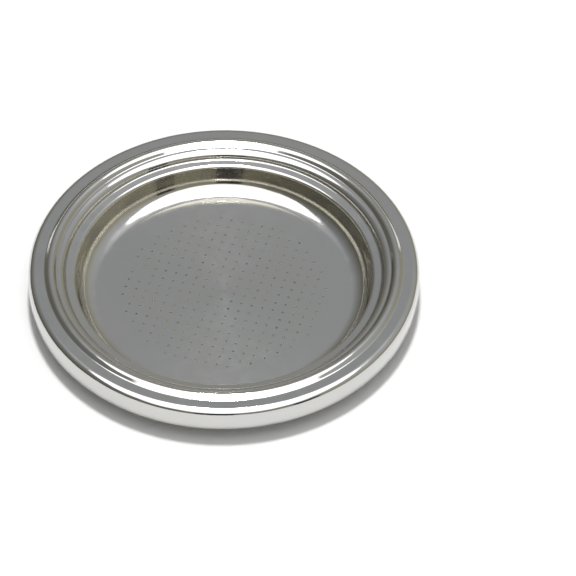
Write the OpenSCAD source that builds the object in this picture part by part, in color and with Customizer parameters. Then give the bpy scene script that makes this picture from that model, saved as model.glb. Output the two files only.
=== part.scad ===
// Espresso pod filter basket: a shallow dish pressed from one disc of stainless sheet.
// The dish stands on its floor, with its axis on Z and the table at height 0.
// Widths and drops are those of the face seen from above, between its unrounded corners.

/* [Sheet] */
// Thickness of the steel sheet
sheet_t = 0.5; // [0.4:0.05:0.55]

/* [Rim] */
// Height of the flat rim above the table
rim_h = 6.9; // [6:0.1:9]
// Diameter over the turned-down skirt
rim_d = 70; // [67:0.5:76]
// Height of the skirt, down from the flat rim
skirt_h = 4.3; // [3:0.1:5]
// Radius of the bend between the rim and its skirt
rim_bend_r = 1.25; // [0.9:0.05:1.6]
// Width of the flat rim, from the outside of the skirt to the foot of the bead
rim_w = 2.9; // [2.2:0.1:4]

/* [Bead] */
// Width of the outer slope of the raised bead
bead_outer_w = 1.17; // [1.05:0.01:1.5]
// Width of the inner slope
bead_inner_w = 1.05; // [1:0.01:1.5]
// Height of the bead over the flat rim, at its unrounded peak
bead_peak = 0.98; // [0.7:0.02:1]
// Radius of the crest
bead_bend_r = 1; // [0.7:0.05:1]
// Radius of the hollow at the outer foot of the bead
foot_bend_r = 0.4; // [0.3:0.05:0.6]
// Radius of the hollow at the inner foot of the bead
valley_bend_r = 0.35; // [0.25:0.05:0.35]

/* [Pod seat] */
// Width of the shoulder inside the bead, which lies as high as the flat rim
shoulder_w = 1.35; // [1.35:0.05:2.5]
// Radius of the easy roll of the shoulder's inner edge
edge_bend_r = 1.44; // [0.7:0.02:1.44]
// Width that the steep riser takes between the shoulder and the ledge
riser_w = 0.31; // [0.1:0.01:0.5]
// Drop of the riser
riser_drop = 1.45; // [1.45:0.05:2]
// Radius of the hollow at the foot of the riser
ledge_bend_r = 0.35; // [0.2:0.05:0.35]
// Width of the ledge that carries the pod's paper flange
ledge_w = 1.8; // [1.2:0.05:2.6]

/* [Bowl] */
// Radius of the edge of the mouth, inside the ledge
mouth_bend_r = 0.65; // [0.55:0.05:0.8]
// Width that the steep wall of the bowl takes between the mouth and the floor
wall_w = 0.4; // [0.2:0.05:2]
// Radius of the round hollow between the wall and the floor
wall_bend_r = 3.2; // [1.5:0.1:4]

/* [Perforations] */
// Diameter of one coffee hole
hole_d = 0.45; // [0.3:0.05:0.8]
// Distance between neighbouring holes of the square grid
hole_pitch = 1.92; // [1.6:0.02:2.6]
// Width of the plain ring between the round field of holes and the edge of the flat floor
plain_ring_w = 4.75; // [4.25:0.05:10]
// Turn of the grid about the axis, seen from above
grid_turn = -16.5; // [-45:0.5:45]

/* [Hidden] */
// Segments of a full turn of the dish and of a hole, and the largest step along a bend
turn_fn = 180;
hole_fn = 16;
bend_step = 9;
// Radii of the corners of the upper face, from the skirt inwards
rim_r = rim_d / 2;
foot_r = rim_r - rim_w;
peak_r = foot_r - bead_outer_w;
valley_r = peak_r - bead_inner_w;
edge_r = valley_r - shoulder_w;
ledge_r = edge_r - riser_w;
mouth_r = ledge_r - ledge_w;
floor_r = mouth_r - wall_w;
ledge_h = rim_h - riser_drop;
// Corners of the upper face from the skirt's edge to the axis: radius, height and bend
CORNERS = [
  [rim_r, rim_h - skirt_h, 0],
  [rim_r, rim_h, rim_bend_r],
  [foot_r, rim_h, foot_bend_r],
  [peak_r, rim_h + bead_peak, bead_bend_r],
  [valley_r, rim_h, valley_bend_r],
  [edge_r, rim_h, edge_bend_r],
  [ledge_r, ledge_h, ledge_bend_r],
  [mouth_r, ledge_h, mouth_bend_r],
  [floor_r, sheet_t, wall_bend_r],
  [0, sheet_t, 0]
];
LAST = len(CORNERS) - 1;

function spot(i) = [CORNERS[i][0], CORNERS[i][1]];
function heading(i) = (spot(i + 1) - spot(i)) / norm(spot(i + 1) - spot(i));
function left(v) = [-v[1], v[0]];
function reverse(list) = [for (k = [len(list) - 1:-1:0]) list[k]];
// Signed turn at corner i: positive where the visible face is the outside of the bend
function turn(i) = atan2(heading(i) * left(heading(i - 1)), heading(i - 1) * heading(i));
// Length that a full bend at corner i takes from the straights on both its sides
function full_take(i) = (i == 0 || i == LAST) ? 0 : CORNERS[i][2] * tan(abs(turn(i)) / 2);
// Share of their radii that both bends of straight i keep where it is too short for them
function share(i) = min(1, norm(spot(i + 1) - spot(i)) / (full_take(i) + full_take(i + 1)));
function bend_share(i) = min(share(i - 1), share(i));
function take(i) = full_take(i) * bend_share(i);
function bend_r(i) = CORNERS[i][2] * bend_share(i);
function bend_start(i) = spot(i) - take(i) * heading(i - 1);
function bend_centre(i) = bend_start(i) + left(heading(i - 1)) * bend_r(i) * sign(turn(i));

// Point of bend i at share k of its turn, on the seen face or through the sheet from it
function bend_point(i, k, r) =
  let (arm = (bend_start(i) - bend_centre(i)) * r / bend_r(i), c = cos(turn(i) * k), s = sin(turn(i) * k))
  bend_centre(i) + [arm[0] * c - arm[1] * s, arm[0] * s + arm[1] * c];
function bend_steps(i) = ceil(abs(turn(i)) / bend_step);
function bend_points(i, r) = [for (k = [0:bend_steps(i)]) bend_point(i, k / bend_steps(i), r)];
function hidden_r(i) = bend_r(i) - sign(turn(i)) * sheet_t;
function through(i) = left(heading(i)) * sheet_t;

// The unpierced dish: the section of the bent sheet, turned once about the axis
module dish() {
  seen = [for (i = [1:LAST - 1]) each bend_points(i, bend_r(i))];
  hidden = [for (i = [LAST - 1:-1:1]) each reverse(bend_points(i, hidden_r(i)))];
  cut_edge = [spot(0) + through(0), spot(0)];
  middle = [spot(LAST), spot(LAST) + through(LAST - 1)];
  rotate_extrude($fn = turn_fn) polygon(concat(cut_edge, seen, middle, hidden));
}

// Square grid of holes, one at the centre, cut to the round field
module perforations() {
  field_r = floor_r - take(LAST - 1) - plain_ring_w;
  reach = floor(field_r / hole_pitch);
  rotate([0, 0, grid_turn])
    for (i = [-reach:reach])
      for (j = [-reach:reach])
        if (norm([i, j]) * hole_pitch <= field_r)
          translate([i * hole_pitch, j * hole_pitch, -sheet_t])
            cylinder(d = hole_d, h = 3 * sheet_t, $fn = hole_fn);
}

module basket() {
  color("silver") difference() {
    dish();
    perforations();
  }
}

basket();
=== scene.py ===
from math import atan2, ceil, cos, pi, radians, sin, tan

import bmesh
import bpy
from mathutils import Matrix, Vector


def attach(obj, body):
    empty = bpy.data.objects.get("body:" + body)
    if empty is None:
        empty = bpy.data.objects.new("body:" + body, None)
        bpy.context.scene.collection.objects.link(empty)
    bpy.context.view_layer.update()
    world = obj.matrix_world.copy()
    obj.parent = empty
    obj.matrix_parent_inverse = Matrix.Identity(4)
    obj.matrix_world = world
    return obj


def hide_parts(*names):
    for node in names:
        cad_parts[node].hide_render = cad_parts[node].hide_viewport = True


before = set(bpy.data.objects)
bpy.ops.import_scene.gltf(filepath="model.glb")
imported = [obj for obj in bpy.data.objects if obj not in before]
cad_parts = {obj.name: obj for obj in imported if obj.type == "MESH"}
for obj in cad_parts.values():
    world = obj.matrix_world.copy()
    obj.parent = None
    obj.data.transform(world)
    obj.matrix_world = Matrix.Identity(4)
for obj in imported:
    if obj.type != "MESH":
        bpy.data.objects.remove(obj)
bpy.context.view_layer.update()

MM = 0.001

# Camera
# The photograph looks down at the dish from about 47 degrees, from far enough away that
# lines hardly converge. The dish stands left of the middle of the picture.
IMAGE_W = 576
VIEW_ELEVATION = radians(47.1)
VIEW_DISTANCE = 1.2
RIM_SCALE = 5592.0
RIM_CENTRE_X = 223.85
RIM_CENTRE_Y = 267.2
SENSOR = 36.0
RIM_Z = 6.9 * MM

rim_centre = Vector((0, 0, RIM_Z))
view_back = Vector((0, -cos(VIEW_ELEVATION), sin(VIEW_ELEVATION)))
view_up = Vector((0, sin(VIEW_ELEVATION), cos(VIEW_ELEVATION)))
aim = rim_centre + Vector((1, 0, 0)) * (IMAGE_W / 2 - RIM_CENTRE_X) / RIM_SCALE
aim -= view_up * (IMAGE_W / 2 - RIM_CENTRE_Y) / RIM_SCALE
camera_data = bpy.data.cameras.new("camera")
camera_data.sensor_width = SENSOR
camera_data.lens = RIM_SCALE * VIEW_DISTANCE / IMAGE_W * SENSOR
camera = bpy.data.objects.new("camera", camera_data)
camera.location = aim + view_back * VIEW_DISTANCE
camera.rotation_euler = (-view_back).to_track_quat("-Z", "Y").to_euler()
bpy.context.collection.objects.link(camera)
bpy.context.scene.camera = camera

# Pressed sheet
# The whole dish is one disc of bright stainless sheet, bent over in a press. Its section is
# a line of straights and round bends, drawn here on the face that shows from above.
SHEET_T = 0.5 * MM
BENDS = [
    ("skirt edge", 35.0, RIM_Z - 4.3 * MM, 0),
    ("rim", 35.0, RIM_Z, 1.25),
    ("bead foot", 32.1, RIM_Z, 0.4),
    ("bead", 30.93, RIM_Z + 0.99 * MM, 0.9),
    ("valley", 29.97, RIM_Z - 0.1 * MM, 0.3),
    ("edge", 28.57, RIM_Z - 0.1 * MM, 1.38),
    ("ledge", 28.32, RIM_Z - 1.5 * MM, 0.3),
    ("mouth", 26.65, RIM_Z - 1.63 * MM, 0.65),
    ("wall", 25.5, SHEET_T, 3.2),
]
TURN_STEPS = 240
BEND_STEP = radians(4)
# Width of the narrow strips beside each bend, which keep the shading of the straights flat
HOLD = 0.012 * MM


def drawn_to(bm, tip, point):
    """Extrudes the tip of the section to a point, and returns the new tip."""
    run = bmesh.ops.extrude_vert_indiv(bm, verts=[tip])
    run["verts"][0].co = point
    return run["verts"][0]


def draw_section(bm, bends):
    """Draws straights between the bends, and spins the section's tip round each bend."""
    corners = [Vector((r * MM, 0, z)) for _, r, z, _ in bends] + [Vector((0, 0, bends[-1][2]))]
    tip = bm.verts.new(corners[0])
    for i in range(1, len(bends)):
        before = (corners[i] - corners[i - 1]).normalized()
        after = (corners[i + 1] - corners[i]).normalized()
        turn = atan2(after.x * -before.z + after.z * before.x, before.dot(after))
        radius = bends[i][3] * MM
        start = corners[i] - before * radius * tan(abs(turn) / 2)
        side = 1 if turn > 0 else -1
        centre = start + Vector((-before.z, 0, before.x)) * radius * side
        tip = drawn_to(bm, tip, start - before * HOLD)
        tip = drawn_to(bm, tip, start)
        steps = ceil(abs(turn) / BEND_STEP)
        arc = bmesh.ops.spin(bm, geom=[tip], cent=centre, axis=(0, -1, 0), angle=turn, steps=steps)
        tip = [v for v in arc["geom_last"] if isinstance(v, bmesh.types.BMVert)][0]
        tip = drawn_to(bm, tip, tip.co + after * HOLD)
    return tip


dish_mesh = bmesh.new()
floor_rim = draw_section(dish_mesh, BENDS)
FLOOR_R = floor_rim.co.x
bmesh.ops.spin(
    dish_mesh, geom=dish_mesh.verts[:] + dish_mesh.edges[:], cent=(0, 0, 0), axis=(0, 0, 1),
    angle=2 * pi, steps=TURN_STEPS, use_merge=True)

# Perforated floor
# The flat floor is pierced by fine punched holes on a square grid, turned a little about
# the axis. They fill a round field and leave a plain ring next to the wall.
HOLE_R = 0.225 * MM
HOLE_PITCH = 1.92 * MM
FIELD_R = 18.3 * MM
GRID_TURN = radians(-16.5)
HOLE_STEPS = 10
TOUCHING = 0.001 * MM

floor_mesh = bmesh.new()
bmesh.ops.create_circle(floor_mesh, cap_ends=False, radius=FLOOR_R, segments=TURN_STEPS)
reach = int(FIELD_R / HOLE_PITCH)
for i in range(-reach, reach + 1):
    for j in range(-reach, reach + 1):
        place = Vector((i, j, 0)) * HOLE_PITCH
        if place.length <= FIELD_R:
            turned = Matrix.Rotation(GRID_TURN, 4, "Z") @ Matrix.Translation(place)
            bmesh.ops.create_circle(
                floor_mesh, cap_ends=False, radius=HOLE_R, segments=HOLE_STEPS, matrix=turned)
bmesh.ops.triangle_fill(floor_mesh, edges=floor_mesh.edges[:], use_beauty=True, normal=(0, 0, 1))
bmesh.ops.translate(floor_mesh, verts=floor_mesh.verts[:], vec=(0, 0, SHEET_T))
floor_data = bpy.data.meshes.new("floor")
floor_mesh.to_mesh(floor_data)
floor_mesh.free()
dish_mesh.from_mesh(floor_data)
bpy.data.meshes.remove(floor_data)
bmesh.ops.remove_doubles(dish_mesh, verts=dish_mesh.verts[:], dist=TOUCHING)
bmesh.ops.recalc_face_normals(dish_mesh, faces=dish_mesh.faces[:])
bmesh.ops.solidify(dish_mesh, geom=dish_mesh.faces[:], thickness=SHEET_T)

# Deburred edge
# The cut edge of the sheet at the foot of the skirt is rounded off all the way round. The
# dish is whole then, and each face gets the finish of its place on the real one.
DEBUR = 0.1 * MM
edge_z = BENDS[0][2]
cut_edges = [
    edge for edge in dish_mesh.edges
    if all(abs(v.co.z - edge_z) < TOUCHING for v in edge.verts)
    and abs(edge.verts[0].co.xy.length - edge.verts[1].co.xy.length) < TOUCHING]
bmesh.ops.bevel(
    dish_mesh, geom=cut_edges, offset=DEBUR, offset_type="OFFSET", affect="EDGES", segments=3,
    profile=0.5, material=-1)

SHARP = radians(40)
for face in dish_mesh.faces:
    face.smooth = True
for edge in dish_mesh.edges:
    edge.smooth = not (edge.is_manifold and edge.calc_face_angle() > SHARP)

POLISHED, BRUSHED, SHADED_WALL, SATIN, PUNCHED = range(5)
INSIDE_SKIRT = 34 * MM
UNDER_MOUTH = RIM_Z - 1.8 * MM
STEEP = 0.75
UPRIGHT = 0.5
DOWNWARD = -0.05
for face in dish_mesh.faces:
    spot = face.calc_center_median()
    outward = face.normal.xy.dot(spot.xy.normalized())
    hidden_wall = outward > STEEP if spot.xy.length < INSIDE_SKIRT else outward < -STEEP
    if spot.xy.length < FIELD_R + HOLE_PITCH and abs(face.normal.z) < UPRIGHT:
        face.material_index = PUNCHED
    elif face.normal.z < DOWNWARD or hidden_wall:
        face.material_index = SATIN
    elif spot.xy.length < FLOOR_R:
        face.material_index = BRUSHED
    # The bowl's wall below the mouth takes the painted shade material
    elif spot.xy.length < INSIDE_SKIRT and spot.z < UNDER_MOUTH:
        face.material_index = SHADED_WALL

basket_data = bpy.data.meshes.new("basket_dish")
dish_mesh.to_mesh(basket_data)
dish_mesh.free()
basket = bpy.data.objects.new("basket_dish", basket_data)
bpy.context.collection.objects.link(basket)
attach(basket, "root")
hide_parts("basket")


# Finish of the steel
# Lathe polishing leaves fine rings about the axis, and handling leaves faint smudges and a
# slight waviness. Painted shade darkens the bowl's wall towards olive higher up and in soft
# blots, standing in for the dim, warm reflections that the wall shows. The holes get it too.
def wired(tree, kind, settings=None, **inputs):
    """Adds a node to a tree, sets its properties, and fills or links its inputs.

    An input goes by its name, with _ for a space, or by its place, as in _0.
    """
    node = tree.nodes.new(kind)
    for key, value in (settings or {}).items():
        setattr(node, key, value)
    for key, value in inputs.items():
        socket = node.inputs[int(key[1:])] if key[0] == "_" else node.inputs[key.replace("_", " ")]
        if isinstance(value, bpy.types.NodeSocket):
            tree.links.new(value, socket)
        else:
            socket.default_value = value
    return node


WAVE_DEPTH = 0.09 * MM
RING_DEPTH = 0.002 * MM
# Height that the painted shade takes to reach its full strength, in millimetres
SHADE_FADE = 1.6

finish = bpy.data.node_groups.new("turned_finish", "ShaderNodeTree")
for name, in_out, kind, value in (
        ("Ring Pitch", "INPUT", "NodeSocketFloat", 0.2),
        ("Ring Height", "INPUT", "NodeSocketFloat", 1.0),
        ("Wave Height", "INPUT", "NodeSocketFloat", 1.0),
        ("Gloss", "INPUT", "NodeSocketFloat", 0.08),
        ("Smudge", "INPUT", "NodeSocketFloat", 0.05),
        ("Stain", "INPUT", "NodeSocketFloat", 0.0),
        ("Stain Foot", "INPUT", "NodeSocketFloat", 0.0),
        ("Colour", "OUTPUT", "NodeSocketColor", None),
        ("Roughness", "OUTPUT", "NodeSocketFloat", None),
        ("Normal", "OUTPUT", "NodeSocketVector", None)):
    socket = finish.interface.new_socket(name, in_out=in_out, socket_type=kind)
    if value is not None:
        socket.default_value = value
given = wired(finish, "NodeGroupInput").outputs
place = wired(finish, "ShaderNodeTexCoord").outputs["Object"]
apart = wired(finish, "ShaderNodeSeparateXYZ", _0=place).outputs
flat_place = wired(finish, "ShaderNodeCombineXYZ", X=apart["X"], Y=apart["Y"]).outputs[0]
radius = wired(finish, "ShaderNodeVectorMath", {"operation": "LENGTH"}, _0=flat_place).outputs["Value"]
along = wired(finish, "ShaderNodeMath", {"operation": "SUBTRACT"}, _0=radius, _1=apart["Z"]).outputs[0]
along_mm = wired(finish, "ShaderNodeMath", {"operation": "MULTIPLY"}, _0=along, _1=1 / MM).outputs[0]
height_mm = wired(
    finish, "ShaderNodeMath", {"operation": "MULTIPLY"}, _0=apart["Z"], _1=1 / MM).outputs[0]
ring_w = wired(
    finish, "ShaderNodeMath", {"operation": "DIVIDE"}, _0=along_mm, _1=given["Ring Pitch"]).outputs[0]
rings = wired(
    finish, "ShaderNodeTexNoise", {"noise_dimensions": "1D"}, W=ring_w, Scale=1.0, Detail=3.0,
    Roughness=0.7).outputs["Fac"]
waves = wired(
    finish, "ShaderNodeTexNoise", Vector=place, Scale=170.0, Detail=1.0).outputs["Fac"]
smears = wired(
    finish, "ShaderNodeTexNoise", Vector=place, Scale=420.0, Detail=5.0, Roughness=0.62,
    Distortion=0.6).outputs["Fac"]
tint = wired(
    finish, "ShaderNodeTexNoise", Vector=place, Scale=60.0, Detail=2.0).outputs["Fac"]
smudge = wired(
    finish, "ShaderNodeMapRange", Value=smears, _1=0.42, _2=0.75, _3=0.0, _4=given["Smudge"]
    ).outputs[0]
roughness = wired(
    finish, "ShaderNodeMath", {"operation": "ADD"}, _0=given["Gloss"], _1=smudge).outputs[0]
colour = wired(
    finish, "ShaderNodeMix", {"data_type": "RGBA"}, _0=tint, _6=(0.630, 0.622, 0.590, 1),
    _7=(0.600, 0.600, 0.606, 1)).outputs[2]
# Painted shade: the colour darkens towards olive above the shade foot and in soft blots
over_foot = wired(
    finish, "ShaderNodeMath", {"operation": "SUBTRACT"}, _0=height_mm, _1=given["Stain Foot"]
    ).outputs[0]
shade_amount = wired(
    finish, "ShaderNodeMapRange", Value=over_foot, _1=0.0, _2=SHADE_FADE, _3=0.0, _4=given["Stain"]
    ).outputs[0]
olive_shaded = wired(
    finish, "ShaderNodeMix", {"data_type": "RGBA"}, _0=shade_amount, _6=colour,
    _7=(0.58, 0.55, 0.45, 1)).outputs[2]
low_place = wired(finish, "ShaderNodeMapping", Vector=place, Scale=(1, 1, 2.2)).outputs[0]
shade_blots = wired(
    finish, "ShaderNodeTexNoise", Vector=low_place, Scale=135.0, Detail=2.0, Roughness=0.4
    ).outputs["Fac"]
blot_shade = wired(
    finish, "ShaderNodeMapRange", Value=shade_blots, _1=0.49, _2=0.66, _3=0.0, _4=shade_amount).outputs[0]
shaded_colour = wired(
    finish, "ShaderNodeMix", {"data_type": "RGBA"}, _0=blot_shade, _6=olive_shaded,
    _7=(0.46, 0.44, 0.39, 1)).outputs[2]
wave_bump = wired(
    finish, "ShaderNodeBump", Strength=1.0, Distance=WAVE_DEPTH, Height=waves)
finish.links.new(given["Wave Height"], wave_bump.inputs["Strength"])
ring_bump = wired(
    finish, "ShaderNodeBump", Strength=1.0, Distance=RING_DEPTH, Height=rings,
    Normal=wave_bump.outputs[0])
finish.links.new(given["Ring Height"], ring_bump.inputs["Strength"])
wired(
    finish, "NodeGroupOutput", Colour=shaded_colour, Roughness=roughness, Normal=ring_bump.outputs[0])


def turned_steel(name, anisotropy, **values):
    """Stainless steel with the turned finish, whose values are given by name."""
    material = bpy.data.materials.new(name)
    material.use_nodes = True
    shader = material.node_tree.nodes["Principled BSDF"]
    shader.inputs["Metallic"].default_value = 1
    shader.inputs["Anisotropic"].default_value = anisotropy
    shader.inputs["Anisotropic Rotation"].default_value = 0.25
    group = wired(material.node_tree, "ShaderNodeGroup", {"node_tree": finish}, **values)
    round_axis = wired(
        material.node_tree, "ShaderNodeTangent", {"direction_type": "RADIAL", "axis": "Z"})
    links = material.node_tree.links
    links.new(group.outputs["Colour"], shader.inputs["Base Color"])
    links.new(group.outputs["Roughness"], shader.inputs["Roughness"])
    links.new(group.outputs["Normal"], shader.inputs["Normal"])
    links.new(round_axis.outputs[0], shader.inputs["Tangent"])
    return material


basket_data.materials.append(turned_steel(
    "polished_steel", 0.2, Ring_Pitch=0.3, Ring_Height=1.0, Wave_Height=1.0, Gloss=0.06,
    Smudge=0.08))
basket_data.materials.append(turned_steel(
    "brushed_floor", 0.5, Ring_Pitch=0.12, Ring_Height=0.15, Wave_Height=0.14, Gloss=0.11,
    Smudge=0.03))
# Painted shade on the bowl's wall: darker and olive higher up and in blots
basket_data.materials.append(turned_steel(
    "shaded_wall", 0.2, Ring_Pitch=0.3, Ring_Height=1.0, Wave_Height=1.0, Gloss=0.08,
    Smudge=0.1, Stain=0.9, Stain_Foot=1.2))
basket_data.materials.append(turned_steel(
    "satin_underside", 0.3, Ring_Pitch=0.2, Ring_Height=1.0, Wave_Height=0.2, Gloss=0.3,
    Smudge=0.12))
# Painted shade in the holes: their walls are darkened towards olive all the way down
basket_data.materials.append(turned_steel(
    "punched_hole", 0.0, Ring_Pitch=0.1, Ring_Height=0.5, Wave_Height=0.0, Gloss=0.5,
    Smudge=0.1, Stain=1.0, Stain_Foot=-5.0))
punched_shader = basket_data.materials[PUNCHED].node_tree.nodes["Principled BSDF"]
punched_shader.inputs["Metallic"].default_value = 0.4
punched_shader.inputs["Specular IOR Level"].default_value = 0.1

# Dark cards
# Two cards of black cloth stand on the camera's side of the dish. They give the steel the
# dark blots that it mirrors in the photograph, and light and shade pass them by.
CARD_DISTANCE = 0.9

black = bpy.data.materials.new("black_cloth")
black.use_nodes = True
black_shader = black.node_tree.nodes["Principled BSDF"]
black_shader.inputs["Base Color"].default_value = (0.03, 0.03, 0.035, 1)
black_shader.inputs["Roughness"].default_value = 0.9


def dark_card(name, turn, width, height):
    """Stands a card on the table, facing the dish and turned about it from the camera's side."""
    card_mesh = bmesh.new()
    bmesh.ops.create_grid(card_mesh, x_segments=1, y_segments=1, size=0.5)
    bmesh.ops.scale(card_mesh, verts=card_mesh.verts[:], vec=(width, height, 1))
    upright = Matrix.Rotation(pi / 2, 4, "X")
    raised = Matrix.Translation((0, -CARD_DISTANCE, height / 2))
    placed = Matrix.Rotation(turn, 4, "Z") @ raised @ upright
    bmesh.ops.transform(card_mesh, matrix=placed, verts=card_mesh.verts[:])
    card_data = bpy.data.meshes.new(name)
    card_mesh.to_mesh(card_data)
    card_mesh.free()
    card = bpy.data.objects.new(name, card_data)
    card.visible_camera = False
    card.visible_shadow = False
    card.visible_diffuse = False
    bpy.context.collection.objects.link(card)
    card_data.materials.append(black)


dark_card("dark_card_1", radians(-4), 0.3, 0.42)
dark_card("dark_card_2", radians(42), 0.2, 0.36)

# Table and light
# The dish stands on a white table in a grey room. A wide soft light overhead gives the
# steel its white bands, and a small key light throws the shadow.
TABLE_GLOW = 0.03
table_mesh = bmesh.new()
bmesh.ops.create_grid(table_mesh, x_segments=1, y_segments=1, size=3)
table_data = bpy.data.meshes.new("table_top")
bmesh.ops.translate(table_mesh, verts=table_mesh.verts[:], vec=(0, 0, -0.01 * MM))
table_mesh.to_mesh(table_data)
table_mesh.free()
table_top = bpy.data.objects.new("table_top", table_data)
bpy.context.collection.objects.link(table_top)
white = bpy.data.materials.new("white_table")
white.use_nodes = True
white_shader = white.node_tree.nodes["Principled BSDF"]
white_shader.inputs["Base Color"].default_value = (0.9, 0.9, 0.9, 1)
white_shader.inputs["Roughness"].default_value = 0.9
white_shader.inputs["Specular IOR Level"].default_value = 0
white_shader.inputs["Emission Color"].default_value = (1, 1, 1, 1)
table_data.materials.append(white)
seen_by = wired(white.node_tree, "ShaderNodeLightPath").outputs
seen = wired(
    white.node_tree, "ShaderNodeMath", {"operation": "MAXIMUM"}, _0=seen_by["Is Camera Ray"],
    _1=seen_by["Is Glossy Ray"]).outputs[0]
seen = wired(
    white.node_tree, "ShaderNodeMath", {"operation": "MAXIMUM"}, _0=seen,
    _1=seen_by["Is Transmission Ray"]).outputs[0]
glow = wired(
    white.node_tree, "ShaderNodeMath", {"operation": "MULTIPLY"}, _0=seen, _1=TABLE_GLOW).outputs[0]
white.node_tree.links.new(glow, white_shader.inputs["Emission Strength"])

world = bpy.data.worlds.new("room")
world.use_nodes = True
direction = wired(world.node_tree, "ShaderNodeTexCoord").outputs["Generated"]
toward = wired(world.node_tree, "ShaderNodeSeparateXYZ", _0=direction).outputs
walls = wired(world.node_tree, "ShaderNodeValToRGB", Fac=toward["Z"])
low, high = walls.color_ramp.elements
middle = walls.color_ramp.elements.new(0.5)
for stop, up_to, tone in (
        (low, 0.3, (0.27, 0.262, 0.21, 1)), (middle, 0.64, (0.275, 0.27, 0.25, 1)),
        (high, 0.76, (0.39, 0.4, 0.41, 1))):
    stop.position = up_to
    stop.color = tone
side_light = wired(
    world.node_tree, "ShaderNodeMapRange", Value=toward["X"], _1=-1.0, _2=1.0, _3=0.5, _4=1.5
    ).outputs[0]
room_light = world.node_tree.nodes["Background"]
world.node_tree.links.new(walls.outputs["Color"], room_light.inputs["Color"])
world.node_tree.links.new(side_light, room_light.inputs["Strength"])
bpy.context.scene.world = world


def soft_light(name, across, deep, level, place, facing, in_shade=True):
    """A soft light, whose level is the brightness that a mirror shows."""
    data = bpy.data.lights.new(name, "AREA")
    data.shape = "ELLIPSE"
    data.size = across
    data.size_y = deep
    data.energy = level * across * deep * pi ** 2 / 4
    lamp = bpy.data.objects.new(name, data)
    lamp.location = place
    lamp.rotation_euler = Vector(facing).to_track_quat("-Z", "Y").to_euler()
    lamp.visible_camera = False
    lamp.visible_diffuse = in_shade
    bpy.context.collection.objects.link(lamp)


# Reach of the wide light to the front, back and sides of the dish
LAMP_H = 0.8
LAMP_FRONT = 1.8 * LAMP_H
LAMP_BACK = 0.47 * LAMP_H
LAMP_SIDE = 0.95 * LAMP_H
soft_light(
    "overhead", 2 * LAMP_SIDE, LAMP_FRONT + LAMP_BACK, 1.5,
    (0, (LAMP_BACK - LAMP_FRONT) / 2, LAMP_H), (0, 0, -1), in_shade=False)
KEY_H = 1.2
KEY_SIZE = 0.16
KEY_TILT = radians(13)
KEY_SHARE = 0.7
key_place = Vector((0, sin(KEY_TILT), cos(KEY_TILT))) * KEY_H
key_level = KEY_SHARE * 4 * (KEY_H / KEY_SIZE) ** 2
soft_light("key", KEY_SIZE, KEY_SIZE, key_level, key_place, -key_place)

bpy.context.scene.view_settings.view_transform = "Standard"
